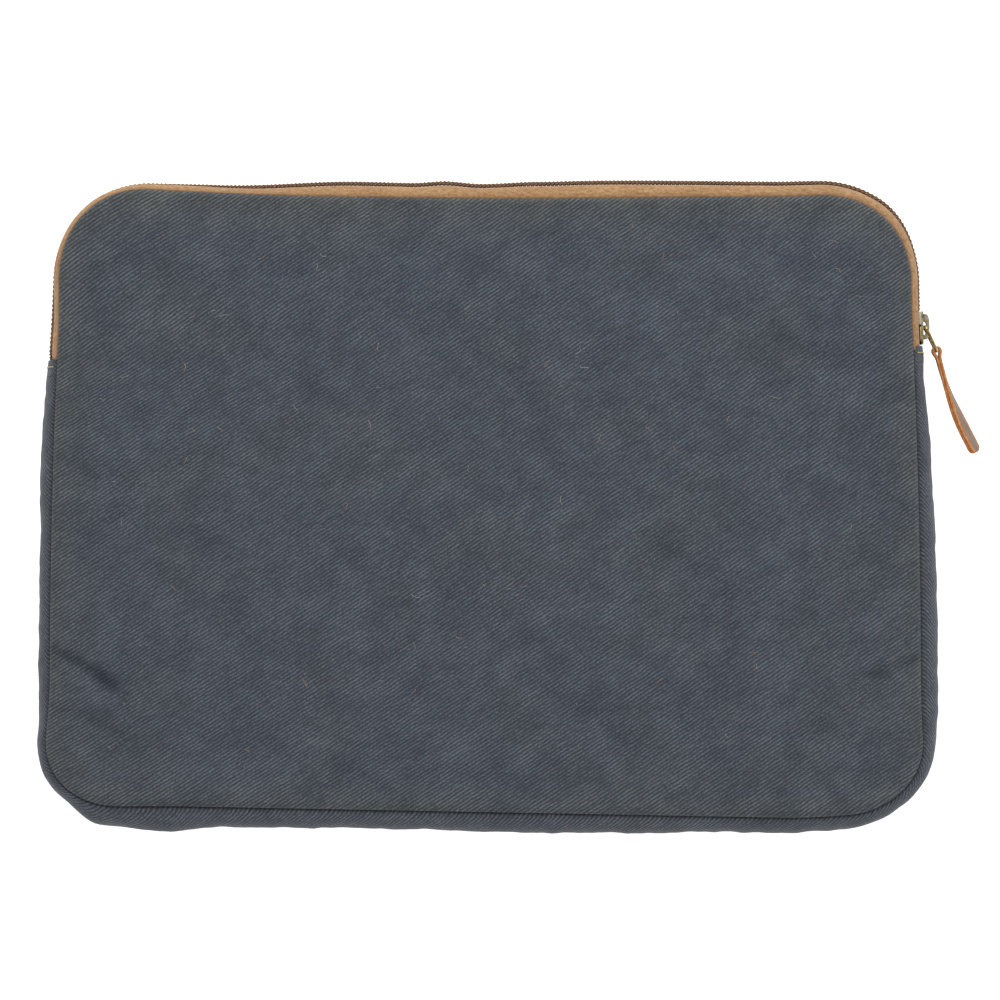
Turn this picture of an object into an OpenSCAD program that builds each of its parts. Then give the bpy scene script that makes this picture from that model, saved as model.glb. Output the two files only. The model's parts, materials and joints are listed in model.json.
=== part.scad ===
// Laptop sleeve in padded twill, lying on its back. A coil zip runs up the left side, across the top
// and down the right side. +X is the width, +Y points to the zip edge and +Z is the thickness.
// The origin is the centre of the back face.

/* [Sleeve] */
// Width of the front and back panels, seam to seam
panel_w = 332; // [310:1:360]
// Height of the front and back panels, seam to seam
panel_h = 241; // [225:1:265]
// Thickness of the empty sleeve
thickness = 22; // [21:0.5:26]
// Corner radius at the zip edge
top_corner_r = 34; // [28:1:38]
// Corner radius at the closed edge
bottom_corner_r = 28; // [20:1:36]
// Height of the zip ends above the middle
zip_end_y = 58.9; // [40:0.1:60]

/* [Layers] */
// Thickness of the outer twill
shell_t = 1; // [0.8:0.1:1.2]
// Thickness of the foam padding
padding_t = 4; // [3:0.5:4.5]
// Thickness of the lining cloth
lining_t = 0.6; // [0.4:0.1:0.8]
// How far the padding stops short of the seam
padding_inset = 2.5; // [1:0.5:6]

/* [Gusset] */
// How far the gusset bulges past the seam
gusset_bulge = 8.5; // [7:0.5:10]
// How far the folded gusset ends bulge past the seam
hem_bulge = 4.8; // [4.4:0.1:5.4]
// Length of the folded gusset ends
hem_len = 6.9; // [5:0.1:9]

/* [Zip] */
// Thickness of the zip tape
tape_t = 0.6; // [0.5:0.1:0.7]
// Distance from the seam out to the inner face of the flat tape
tape_in = 1.4; // [1.4:0.1:1.8]
// Thickness of the coil, measured out from the tape
coil_t = 1.8; // [1.6:0.1:2]
// Width of one coil, without the heads that interlock
coil_w = 2.3; // [2.1:0.1:2.4]

/* [Slider] */
// Length of the slider along the zip
slider_len = 13; // [12:0.5:13.5]
// Width of the slider across the zip
slider_w = 8.8; // [8.8:0.1:9.4]
// Thickness of each slider plate
plate_t = 1.1; // [1:0.1:1.2]

/* [Pull] */
// Wire diameter of the link
wire_d = 1.1; // [1:0.05:1.15]
// Distance between the two bars of the link
link_len = 10.7; // [10:0.1:12]
// Angle of the hanging link, outwards from straight down
link_angle = 26; // [22:1:40]
// Length of the leather pull from the link bar
leather_len = 42.6; // [36:0.1:50]
// Angle of the hanging leather pull, outwards from straight down
leather_angle = 19.5; // [17:0.5:40]
// Width of the leather strip
leather_w = 6; // [5:0.1:6.2]

/* [Hidden] */
$fn = 96;

edge_x = panel_w / 2;
edge_y = panel_h / 2;
mid_z = thickness / 2;
top_arc_y = edge_y - top_corner_r;
bottom_arc_y = -edge_y + bottom_corner_r;
hem_y = zip_end_y - hem_len;

// Running clearance between parts that move past each other
gap = 0.3;
fold_gap = 0.3;
flap_y = zip_end_y + fold_gap;
far = 400;

// Heights of the layers, back to front
back_padding_z = shell_t;
back_lining_z = shell_t + padding_t;
front_lining_z = thickness - shell_t - padding_t - lining_t;
front_padding_z = thickness - shell_t - padding_t;
front_panel_z = thickness - shell_t;

// Lining behind the gusset
gusset_lining_t = 0.5;
hem_t = 1.2;

// Chain section, as distances out from the seam and up from the middle of the thickness
post_w = 1.2;
coil_gap = post_w / 2 + gap;
tape_out = tape_in + tape_t;
tape_flat_h = slider_w / 2 + 0.8;
coil_out = tape_out + coil_t;
thread_t = 0.2;
thread_w = 0.5;
chain_out = coil_out + thread_t;
cord_r = 0.4;
cord_hole_r = 0.45;
coil_round_r = 0.4;

// Slider, with its wide end towards the zip end
slider_y = zip_end_y + 3.1;
slider_top_y = slider_y + slider_len;
outer_plate_in = chain_out + gap;
outer_plate_out = outer_plate_in + plate_t;
inner_plate_out = tape_in - gap;
lip_in = tape_out + gap;
lip_w = slider_w / 2 - coil_gap - coil_w - gap;
lip_len = slider_len - 3;
plate_chamfer = 1.6;
post_len = 3.7;
bridge_len = 10;
bridge_w = 3;
bridge_t = 1.1;
bridge_foot = 1.2;
bridge_chamfer = 1.4;
bridge_room = wire_d + 0.4;
bridge_y = slider_y + 2;

// Link and leather pull
pivot_x = edge_x + outer_plate_out + bridge_room / 2;
pivot_y = slider_y + 7;
link_half_w = 4.3;
link_bend_r = 1.2;
bar_x = pivot_x + link_len * sin(link_angle);
bar_y = pivot_y - link_len * cos(link_angle);
loop_r = 2.2;
loop_hole_r = 1;
strip_half = 1.25;
end_r = 2.4;
strip_end_half = 2;
strip_start = 1.5;
strip_widens = 24;

// Stitching across the gusset ends
stitch_d = 0.4;
stitch_pitch = 2.6;
stitch_len = 1.7;
stitch_count = 7;
stitch_y = zip_end_y - 1.6;

// Outline of a panel, drawn in from the seam by inset
module panel_outline(inset = 0) {
    x = edge_x - inset;
    y = edge_y - inset;
    rt = top_corner_r - inset;
    rb = bottom_corner_r - inset;
    translate([-x, -y + rb]) square([2 * x, 2 * y - rt - rb]);
    translate([-x + rt, y - rt]) square([2 * (x - rt), rt]);
    translate([-x + rb, -y]) square([2 * (x - rb), rb]);
    for (side = [-1, 1]) {
        translate([side * (x - rt), y - rt]) circle(r = rt);
        translate([side * (x - rb), -y + rb]) circle(r = rb);
    }
}

// One layer of the front or back
module layer(z, t, inset = 0) {
    translate([0, 0, z]) linear_extrude(height = t) panel_outline(inset);
}

// The part of a layer below the fold line, which stays with the sleeve
module below_fold() {
    intersection() {
        children();
        translate([-far / 2, zip_end_y - far, -1]) cube([far, far, thickness + 2]);
    }
}

// The part of a layer above the fold line, which lifts with the flap
module above_fold() {
    intersection() {
        children();
        translate([-far / 2, flap_y, -1]) cube([far, far, thickness + 2]);
    }
}

// Straight stretch of a section up the right-hand side, from y0 to y1
module side_run(y0, y1) {
    translate([edge_x, y1, mid_z]) rotate([90, 0, 0]) linear_extrude(height = y1 - y0) children();
}

// Straight stretch of a section along the top or the bottom, between two corners of radius r
module level_run(y, r) {
    translate([-edge_x + r, y, mid_z])
        rotate([90, 0, 90]) linear_extrude(height = panel_w - 2 * r) children();
}

// Section turned round a right-hand corner of radius r, a quarter turn on from angle start
module corner_run(y, r, start) {
    translate([edge_x - r, y, mid_z])
        rotate([0, 0, start]) rotate_extrude(angle = 90) translate([r, 0]) children();
}

// Section carried round the zip edge, starting at a height of its own on each side
module zip_run(y_left, y_right) {
    side_run(y_right, top_arc_y) children();
    mirror([1, 0, 0]) side_run(y_left, top_arc_y) children();
    for (side = [0, 1]) mirror([side, 0, 0]) corner_run(top_arc_y, top_corner_r, 0) children();
    level_run(edge_y, top_corner_r) children();
}

// Section carried down the sides and along the closed edge
module gusset_run() {
    for (side = [0, 1]) mirror([side, 0, 0]) {
        side_run(bottom_arc_y, hem_y) children();
        corner_run(bottom_arc_y, bottom_corner_r, -90) children();
    }
    mirror([0, 1, 0]) level_run(edge_y, bottom_corner_r) children();
}

// Half lens that stands out from the seam by bulge and is 2 * half high
module lens(bulge, half) {
    radius = (bulge * bulge + half * half) / (2 * bulge);
    intersection() {
        translate([bulge - radius, 0]) circle(r = radius);
        translate([0, -2 * half]) square([bulge + 1, 4 * half]);
    }
}

// Section of a bulging strip of cloth
module strip_section(bulge, half, wall) {
    difference() {
        lens(bulge, half);
        lens(bulge - wall, half - wall);
    }
}

// Section of the front tape: flat beside the coil, then sloping in to the seam
module tape_section() {
    rise = mid_z - tape_flat_h;
    drop = tape_t * sqrt(tape_out * tape_out + rise * rise) / tape_out;
    polygon([
        [tape_in, coil_gap], [tape_out, coil_gap], [tape_out, tape_flat_h],
        [0, mid_z], [0, mid_z - drop], [tape_in, tape_flat_h]
    ]);
}

// Section of the front coil, round at its corners and hollow for the filler cord
module coil_section() {
    cy = coil_gap + coil_w / 2;
    difference() {
        translate([tape_out, coil_gap]) square([coil_t, coil_w]);
        for (h = [coil_gap, coil_gap + coil_w - coil_round_r])
            translate([coil_out - coil_round_r, h]) difference() {
                square(coil_round_r);
                translate([0, h == coil_gap ? coil_round_r : 0]) circle(r = coil_round_r);
            }
        translate([tape_out + coil_t / 2, cy]) circle(r = cord_hole_r);
    }
}

// Section of the filler cord inside the front coil
module cord_section() {
    translate([tape_out + coil_t / 2, coil_gap + coil_w / 2]) circle(r = cord_r);
}

// Section of the sewing thread on the front coil
module thread_section() {
    translate([coil_out, coil_gap + coil_w / 2 - thread_w / 2]) square([thread_t, thread_w]);
}

module back_panel() { color("#4d5560") layer(0, shell_t); }
module back_padding() { color("#8c8f92") layer(back_padding_z, padding_t, padding_inset); }
module back_lining() { color("#c9bfa8") layer(back_lining_z, lining_t); }

module front_panel_lower() {
    color("#4d5560") below_fold() layer(front_panel_z, shell_t);
}

module front_padding_lower() {
    color("#8c8f92") below_fold() layer(front_padding_z, padding_t, padding_inset);
}

module front_lining_lower() {
    color("#c9bfa8") below_fold() layer(front_lining_z, lining_t);
}

module front_panel_upper() {
    color("#4d5560") above_fold() layer(front_panel_z, shell_t);
}

module front_padding_upper() {
    color("#8c8f92") above_fold() layer(front_padding_z, padding_t, padding_inset);
}

module front_lining_upper() {
    color("#c9bfa8") above_fold() layer(front_lining_z, lining_t);
}

module gusset() {
    color("#50535b") gusset_run() strip_section(gusset_bulge, mid_z, shell_t);
}

module gusset_lining() {
    color("#c9bfa8") gusset_run()
        strip_section(gusset_bulge - shell_t, mid_z - shell_t, gusset_lining_t);
}

// Folded end of the gusset, where it covers the end of the zip on the right
module gusset_end() {
    side_run(hem_y, zip_end_y) strip_section(hem_bulge, mid_z, hem_t);
}

module gusset_end_right() { color("#4b5158") gusset_end(); }
module gusset_end_left() { color("#4b5158") mirror([1, 0, 0]) gusset_end(); }

// Row of stitches across the right-hand gusset end
module end_stitching() {
    intersection() {
        side_run(stitch_y - stitch_d / 2, stitch_y + stitch_d / 2)
            strip_section(hem_bulge + stitch_d / 2, mid_z + stitch_d / 2, stitch_d / 2);
        for (i = [0:stitch_count - 1])
            translate([
                edge_x,
                stitch_y - stitch_d,
                mid_z + (i - (stitch_count - 1) / 2) * stitch_pitch - stitch_len / 2
            ]) cube([2 * hem_bulge, 2 * stitch_d, stitch_len]);
    }
}

module end_stitching_right() { color("#c8ac72") end_stitching(); }
module end_stitching_left() { color("#c8ac72") mirror([1, 0, 0]) end_stitching(); }

module zip_tape_front() { color("#b48d6a") zip_run(flap_y, flap_y) tape_section(); }

module zip_tape_back() {
    color("#b48d6a") zip_run(zip_end_y, zip_end_y) mirror([0, 1]) tape_section();
}

// The front half of the chain stops at the slider, so that it can lift away from it
module zip_coil_front() {
    color("#5b4334") zip_run(flap_y, slider_top_y + gap) coil_section();
}

module zip_coil_back() {
    color("#5b4334") zip_run(zip_end_y, zip_end_y) mirror([0, 1]) coil_section();
}

module coil_cord_front() {
    color("#d8c9ae") zip_run(flap_y, slider_top_y + gap) cord_section();
}

module coil_cord_back() {
    color("#d8c9ae") zip_run(zip_end_y, zip_end_y) mirror([0, 1]) cord_section();
}

module coil_thread_front() {
    color("#b08a60") zip_run(flap_y, slider_top_y + gap) thread_section();
}

module coil_thread_back() {
    color("#b08a60") zip_run(zip_end_y, zip_end_y) mirror([0, 1]) thread_section();
}

// Outline of a slider plate: x runs across the zip and y along it
module plate_outline() {
    half = slider_w / 2;
    polygon([
        [-half + plate_chamfer, 0], [half - plate_chamfer, 0], [half, plate_chamfer],
        [half, slider_len - plate_chamfer], [half - plate_chamfer, slider_len],
        [-half + plate_chamfer, slider_len], [-half, slider_len - plate_chamfer],
        [-half, plate_chamfer]
    ]);
}

// Sets an outline drawn across and along the zip upright at distance x from the seam
module upright(x, t) {
    translate([edge_x + x, slider_y, mid_z])
        rotate([0, 90, 0]) linear_extrude(height = t) children();
}

// Die-cast slider: two plates joined by the post that parts the coils, with lips along the outer one
module slider_body() {
    color("#8a8070") {
        upright(inner_plate_out - plate_t, plate_t) plate_outline();
        upright(outer_plate_in, plate_t) plate_outline();
        upright(inner_plate_out, outer_plate_in - inner_plate_out)
            polygon([
                [0, 0], [post_w / 2, post_w], [post_w / 2, post_len - post_w], [0, post_len],
                [-post_w / 2, post_len - post_w], [-post_w / 2, post_w]
            ]);
        for (side = [-1, 1])
            upright(lip_in, outer_plate_in - lip_in)
                translate([
                    side > 0 ? slider_w / 2 - lip_w : -slider_w / 2,
                    (slider_len - lip_len) / 2
                ]) square([lip_w, lip_len]);
    }
}

// Arched bridge that holds the link on the slider
module slider_bridge() {
    rise = bridge_room + bridge_t;
    color("#8a8070") translate([edge_x + outer_plate_out, bridge_y, mid_z - bridge_w / 2])
        linear_extrude(height = bridge_w) difference() {
            polygon([
                [0, 0], [rise - bridge_chamfer, 0], [rise, bridge_chamfer],
                [rise, bridge_len - bridge_chamfer], [rise - bridge_chamfer, bridge_len],
                [0, bridge_len]
            ]);
            translate([-1, bridge_foot])
                square([bridge_room + 1, bridge_len - 2 * bridge_foot]);
        }
}

// Bent wire of the link, drawn flat: length runs down -y and width along x
module link_wire() {
    straight = link_half_w - link_bend_r;
    for (y = [0, -link_len])
        translate([-straight, y, 0]) rotate([0, 90, 0]) cylinder(d = wire_d, h = 2 * straight);
    for (side = [-1, 1])
        translate([side * link_half_w, -link_bend_r, 0])
            rotate([90, 0, 0]) cylinder(d = wire_d, h = link_len - 2 * link_bend_r);
    for (turn = [0, 1], side = [0, 1])
        translate([0, -turn * link_len, 0]) mirror([0, turn, 0]) mirror([side, 0, 0])
            translate([straight, -link_bend_r, 0])
                rotate_extrude(angle = 90) translate([link_bend_r, 0]) circle(d = wire_d);
}

module pull_link() {
    color("#b99a5c") translate([pivot_x, pivot_y, mid_z])
        rotate([0, 0, link_angle]) rotate([0, 90, 0]) link_wire();
}

// Outline of the doubled leather strip below the loop, seen along its cut edge
module strip_outline(end_y) {
    polygon([
        [-strip_half, -strip_start], [strip_half, -strip_start],
        [strip_half, -strip_widens], [strip_end_half, end_y],
        [-strip_end_half, end_y], [-strip_half, -strip_widens]
    ]);
}

// Leather strip folded round the link bar, widening to a rounded end
module leather_pull() {
    end_y = end_r - leather_len;
    color("#c8783c") translate([bar_x, bar_y, mid_z - leather_w / 2])
        rotate([0, 0, leather_angle]) {
            difference() {
                cylinder(r = loop_r, h = leather_w);
                translate([0, 0, -1]) cylinder(r = loop_hole_r, h = leather_w + 2);
            }
            linear_extrude(height = leather_w) strip_outline(end_y);
            translate([0, end_y, 0]) cylinder(r = end_r, h = leather_w);
        }
}

back_panel();
back_padding();
back_lining();
front_panel_lower();
front_padding_lower();
front_lining_lower();
front_panel_upper();
front_padding_upper();
front_lining_upper();
gusset();
gusset_lining();
gusset_end_left();
gusset_end_right();
end_stitching_left();
end_stitching_right();
zip_tape_back();
zip_tape_front();
zip_coil_back();
zip_coil_front();
coil_cord_back();
coil_cord_front();
coil_thread_back();
coil_thread_front();
slider_body();
slider_bridge();
pull_link();
leather_pull();
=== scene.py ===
import json
import math
import random

import bmesh
import bpy
import numpy as np
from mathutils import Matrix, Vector, noise
from mathutils.bvhtree import BVHTree


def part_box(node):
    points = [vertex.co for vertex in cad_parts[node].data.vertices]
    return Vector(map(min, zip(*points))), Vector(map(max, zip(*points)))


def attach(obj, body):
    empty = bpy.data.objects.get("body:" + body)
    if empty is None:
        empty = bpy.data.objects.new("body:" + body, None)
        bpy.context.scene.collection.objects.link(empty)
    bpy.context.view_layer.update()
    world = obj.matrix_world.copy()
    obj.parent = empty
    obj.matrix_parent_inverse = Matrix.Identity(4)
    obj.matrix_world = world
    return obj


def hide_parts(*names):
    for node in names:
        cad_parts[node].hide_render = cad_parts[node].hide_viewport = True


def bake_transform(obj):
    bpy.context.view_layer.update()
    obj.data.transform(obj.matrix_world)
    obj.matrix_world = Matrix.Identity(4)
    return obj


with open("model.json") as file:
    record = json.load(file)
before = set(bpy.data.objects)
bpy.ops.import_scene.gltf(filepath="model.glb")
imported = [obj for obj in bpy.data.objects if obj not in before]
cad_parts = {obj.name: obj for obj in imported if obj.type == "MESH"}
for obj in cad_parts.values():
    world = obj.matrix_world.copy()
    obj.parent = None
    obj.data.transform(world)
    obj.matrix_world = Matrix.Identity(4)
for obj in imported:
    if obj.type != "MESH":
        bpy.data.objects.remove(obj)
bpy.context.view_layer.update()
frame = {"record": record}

# Lengths in this script are in millimetres; make_mesh turns them into metres.
MM = 0.001
TAU = 2 * math.pi


# ---------------------------------------------------------------- places taken from the frame

def box_mm(node):
    """Lowest and highest corner of a CAD node, in millimetres."""
    low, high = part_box(node)
    return np.array(low) / MM, np.array(high) / MM


JOINTS = {joint["name"]: joint for joint in frame["record"]["behaviour"]["joints"]}
HALF_W, HALF_H = box_mm("back_panel")[1][:2]
THICKNESS = box_mm("front_panel_upper")[1][2]
MID_Z = THICKNESS / 2
BACK_PAD = box_mm("back_padding")
FRONT_PAD = (box_mm("front_padding_lower")[0], box_mm("front_padding_upper")[1])
BACK_LINING = box_mm("back_lining")
FRONT_LINING = (box_mm("front_lining_lower")[0], box_mm("front_lining_upper")[1])
ZIP_END_Y = box_mm("gusset_end_right")[1][1]
HEM_Y = box_mm("gusset_end_right")[0][1]
SLIDER = box_mm("slider_body")
BRIDGE = box_mm("slider_bridge")
COIL_START_Y = SLIDER[1][1] + 0.3
FOLD_Y = JOINTS["flap_fold"]["pos_m"][1] / MM
PIVOT = np.array(JOINTS["link_swing"]["pos_m"]) / MM
BAR = np.array(JOINTS["pull_swing"]["pos_m"]) / MM
TOP_R, BOTTOM_R = 34.0, 28.0
CLOTH_THICK, HEM_THICK, TAPE_THICK, LINING_THICK = 0.9, 0.55, 0.55, 0.4
LINK_WIRE_R = 0.55
PAD_INSET = 2.5


def bow_length(bulge, half):
    """Length of an arc that bulges out by bulge between two points 2 * half apart."""
    radius = (half ** 2 + bulge ** 2) / (2 * bulge)
    return 2 * radius * math.asin(half / radius)


# Flat sizes are net: from seam line to seam line, without the seam allowance
GUSSET_CUT_W = bow_length(box_mm("gusset")[1][0] - HALF_W, MID_Z)
LINING_CUT_W = bow_length(box_mm("gusset_lining")[1][0] - HALF_W, MID_Z - 1)
TAPE_CUT_W = 11.0
PANEL_CUT_AREA = 4 * HALF_W * HALF_H - (2 - math.pi / 2) * (TOP_R ** 2 + BOTTOM_R ** 2)

# The stretch about the flap's fold line, where pare_fold cuts the foam's inner face thinner.
BEND_START = (0, (FOLD_Y - 1.5) * MM, THICKNESS * MM)
BEND_END = (0, (FOLD_Y + 18) * MM, THICKNESS * MM)


# ---------------------------------------------------------------- small helpers

def smooth(x):
    """Smooth step from 0 to 1."""
    x = np.clip(x, 0, 1)
    return x * x * (3 - 2 * x)


def keyed(s, keys):
    """A value that runs smoothly through (place, value) pairs."""
    places = [k[0] for k in keys]
    values = [k[1] for k in keys]
    s = np.asarray(s, dtype=float)
    i = np.clip(np.searchsorted(places, s, side="right") - 1, 0, len(keys) - 2)
    left, right = np.take(places, i), np.take(places, i + 1)
    part = smooth((s - left) / (right - left))
    return np.take(values, i) * (1 - part) + np.take(values, i + 1) * part


def ripple(x, y, seed, octaves=2):
    """Soft noise from about -1 to 1 at one place."""
    return noise.fractal(Vector((x, y, seed)), 1.0, 2.0, octaves)


def ripples(xs, ys, seed, octaves=2):
    """ripple() for whole arrays."""
    flat = [ripple(x, y, seed, octaves) for x, y in zip(np.ravel(xs), np.ravel(ys))]
    return np.array(flat).reshape(np.shape(xs))


def make_mesh(name, verts, faces, uvs=None):
    """A mesh object from points in millimetres. uvs holds one pair for each vertex."""
    mesh = bpy.data.meshes.new(name)
    mesh.from_pydata([tuple(v) for v in np.asarray(verts, dtype=float) * MM], [], faces)
    mesh.validate()
    if uvs is not None:
        layer = mesh.uv_layers.new(name="cloth")
        index = np.empty(len(mesh.loops), dtype=np.int32)
        mesh.loops.foreach_get("vertex_index", index)
        layer.data.foreach_set("uv", np.asarray(uvs, dtype=np.float32)[index].ravel())
    mesh.shade_smooth()
    obj = bpy.data.objects.new(name, mesh)
    bpy.context.scene.collection.objects.link(obj)
    return obj


def grid_faces(rows, cols, wrap_rows=False, wrap_cols=False):
    """Quads over a grid of vertices stored row by row."""
    faces = []
    for i in range(rows if wrap_rows else rows - 1):
        for j in range(cols if wrap_cols else cols - 1):
            a, b = i * cols + j, i * cols + (j + 1) % cols
            i2 = (i + 1) % rows
            c, d = i2 * cols + (j + 1) % cols, i2 * cols + j
            faces.append((a, b, c, d))
    return faces


def tube(points, radius, sides=8, closed=False):
    """Vertices and faces of a round tube along points."""
    pts = np.asarray(points, dtype=float)
    n = len(pts)
    ahead = np.roll(pts, -1, 0) if closed else np.vstack([pts[1:], 2 * pts[-1:] - pts[-2:-1]])
    behind = np.roll(pts, 1, 0) if closed else np.vstack([2 * pts[:1] - pts[1:2], pts[:-1]])
    run = ahead - behind
    run /= np.linalg.norm(run, axis=1)[:, None]
    side = np.zeros_like(run)
    start = np.cross(run[0], (0, 0, 1.0))
    if np.linalg.norm(start) < 0.1:
        start = np.cross(run[0], (1.0, 0, 0))
    side[0] = start / np.linalg.norm(start)
    for k in range(1, n):
        v = side[k - 1] - run[k] * np.dot(side[k - 1], run[k])
        side[k] = v / np.linalg.norm(v)
    up = np.cross(run, side)
    angle = np.arange(sides) * TAU / sides
    ring = np.cos(angle)[None, :, None] * side[:, None] + np.sin(angle)[None, :, None] * up[:, None]
    verts = (pts[:, None] + ring * radius).reshape(-1, 3)
    faces = grid_faces(n, sides, wrap_rows=closed, wrap_cols=True)
    if not closed:
        faces.append(tuple(range(sides))[::-1])
        faces.append(tuple((n - 1) * sides + k for k in range(sides)))
    return verts, faces


def joined(parts):
    """One list of vertices and faces from several."""
    verts, faces, base = [], [], 0
    for v, f in parts:
        verts.append(v)
        faces += [tuple(i + base for i in face) for face in f]
        base += len(v)
    return np.vstack(verts), faces


def mark(obj, name, values):
    """Stores one number for each point of a mesh, for its material to read."""
    layer = obj.data.attributes.new(name, "FLOAT", "POINT")
    layer.data.foreach_set("value", np.asarray(values, dtype=np.float32).ravel())


def solidify(obj, thickness):
    """Gives a sheet its thickness, in millimetres, behind its face."""
    mod = obj.modifiers.new("thickness", "SOLIDIFY")
    mod.thickness = thickness * MM
    mod.offset = -1.0
    mod.use_even_offset = False


def stands_for(obj, slot, *nodes):
    """Hides the CAD nodes that a piece stands for; the piece and its slot are not used."""
    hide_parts(*nodes)


def coordinates(obj):
    """The mesh's points as an array, in metres."""
    flat = np.empty(len(obj.data.vertices) * 3)
    obj.data.vertices.foreach_get("co", flat)
    return flat.reshape(-1, 3)


def move_points(obj, points):
    """Puts the mesh's points where the array says."""
    obj.data.vertices.foreach_set("co", points.ravel())
    obj.data.update()


# ---------------------------------------------------------------- materials

class Value:
    """One output of a material's nodes. Sums and products of values become math nodes."""

    def __init__(self, nodes, socket):
        self.nodes = nodes
        self.socket = socket

    def __add__(self, other):
        return self.nodes.math("ADD", self, other)

    def __sub__(self, other):
        return self.nodes.math("SUBTRACT", self, other)

    def __rsub__(self, other):
        return self.nodes.math("SUBTRACT", other, self)

    def __mul__(self, other):
        return self.nodes.math("MULTIPLY", self, other)

    def __abs__(self):
        return self.nodes.math("ABSOLUTE", self)

    __radd__ = __add__
    __rmul__ = __mul__

    def clamped(self):
        """The value, kept between 0 and 1."""
        return self.nodes.math("ADD", self, 0.0, clamp=True)


class Nodes:
    """Builds one material's nodes. Values, plain numbers and tuples are all taken as inputs."""

    def __init__(self, name):
        self.material = bpy.data.materials.new(name)
        self.material.use_nodes = True
        self.tree = self.material.node_tree
        self.shader = self.tree.nodes["Principled BSDF"]

    def put(self, kind, output=0, settings=None, **inputs):
        """Adds a node. A socket that has only a number is named with an underscore before it."""
        node = self.tree.nodes.new(kind)
        for key, value in (settings or {}).items():
            setattr(node, key, value)
        for key, value in inputs.items():
            self.feed(node, key.replace("_", " ").strip(), value)
        return Value(self, node.outputs[output])

    def feed(self, node, socket, value):
        target = node.inputs[int(socket)] if socket.isdigit() else node.inputs[socket]
        if isinstance(value, Value):
            self.tree.links.new(value.socket, target)
        else:
            target.default_value = value

    def math(self, operation, a, b=0.0, clamp=False):
        return self.put("ShaderNodeMath", 0, {"operation": operation, "use_clamp": clamp}, _0=a, _1=b)

    def coords(self):
        """Millimetres along and across the flat cloth."""
        return self.put("ShaderNodeUVMap", 0, {"uv_map": "cloth"})

    def object_coords(self):
        return self.put("ShaderNodeTexCoord", "Object")

    def marked(self, name):
        """A number that mark() stored, or 0 on a mesh without it."""
        return self.put("ShaderNodeAttribute", "Fac", {"attribute_name": name})

    def mapped(self, vector, scale=(1, 1, 1), turn=0.0):
        return self.put("ShaderNodeMapping", Vector=vector, Scale=scale, Rotation=(0, 0, turn))

    def noise(self, vector, scale, detail=2.0, roughness=0.5):
        """Noise from 0 to 1. Two scales stretch it along the cloth."""
        if isinstance(scale, tuple):
            vector, scale = self.mapped(vector, (*scale, 1)), 1
        return self.put("ShaderNodeTexNoise", "Fac", {"noise_dimensions": "3D"}, Vector=vector,
                        Scale=scale, Detail=detail, Roughness=roughness)

    def split(self, vector):
        node = self.put("ShaderNodeSeparateXYZ", _0=vector).socket.node
        return [Value(self, output) for output in node.outputs]

    def wave(self, value, period, wobble=0.0):
        """0 to 1 and back along value, once every period."""
        return 0.5 + 0.5 * self.math("SINE", (value + wobble) * (TAU / period))

    def ramp(self, value, stops):
        """Screen colours at places from 0 to 1."""
        colour = self.put("ShaderNodeValToRGB", Fac=value)
        band = colour.socket.node.color_ramp
        for _ in range(len(stops) - len(band.elements)):
            band.elements.new(0.5)
        for element, (place, shade) in zip(band.elements, stops):
            element.position = place
            element.color = (*srgb(*shade), 1)
        return colour

    def mix(self, part, a, b, blend="MIX"):
        a, b = [c if isinstance(c, Value) else (*c, 1) for c in (a, b)]
        return self.put("ShaderNodeMix", 2, {"data_type": "RGBA", "blend_type": blend},
                        _0=part, _6=a, _7=b)

    def tint(self, part, colour, factors):
        """The colour, with a part of it multiplied by factors."""
        return self.mix(part, colour, self.mix(1.0, colour, factors, "MULTIPLY"))

    def bump(self, height, distance, strength):
        return self.put("ShaderNodeBump", Height=height, Distance=distance * MM, Strength=strength)

    def finish(self, colour, roughness, normal=None, **sockets):
        self.feed(self.shader, "Base Color", colour)
        self.feed(self.shader, "Roughness", roughness)
        if normal is not None:
            self.feed(self.shader, "Normal", normal)
        for name, value in sockets.items():
            self.feed(self.shader, name.replace("_", " "), value)
        return self.material


def srgb(r, g, b):
    """Linear colour from 0 to 255 screen values."""
    def one(c):
        c /= 255
        return c / 12.92 if c <= 0.04045 else ((c + 0.055) / 1.055) ** 2.4
    return one(r), one(g), one(b)


TWILL_PITCH = 1.25
TWILL_ANGLE = math.radians(33.6)


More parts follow.
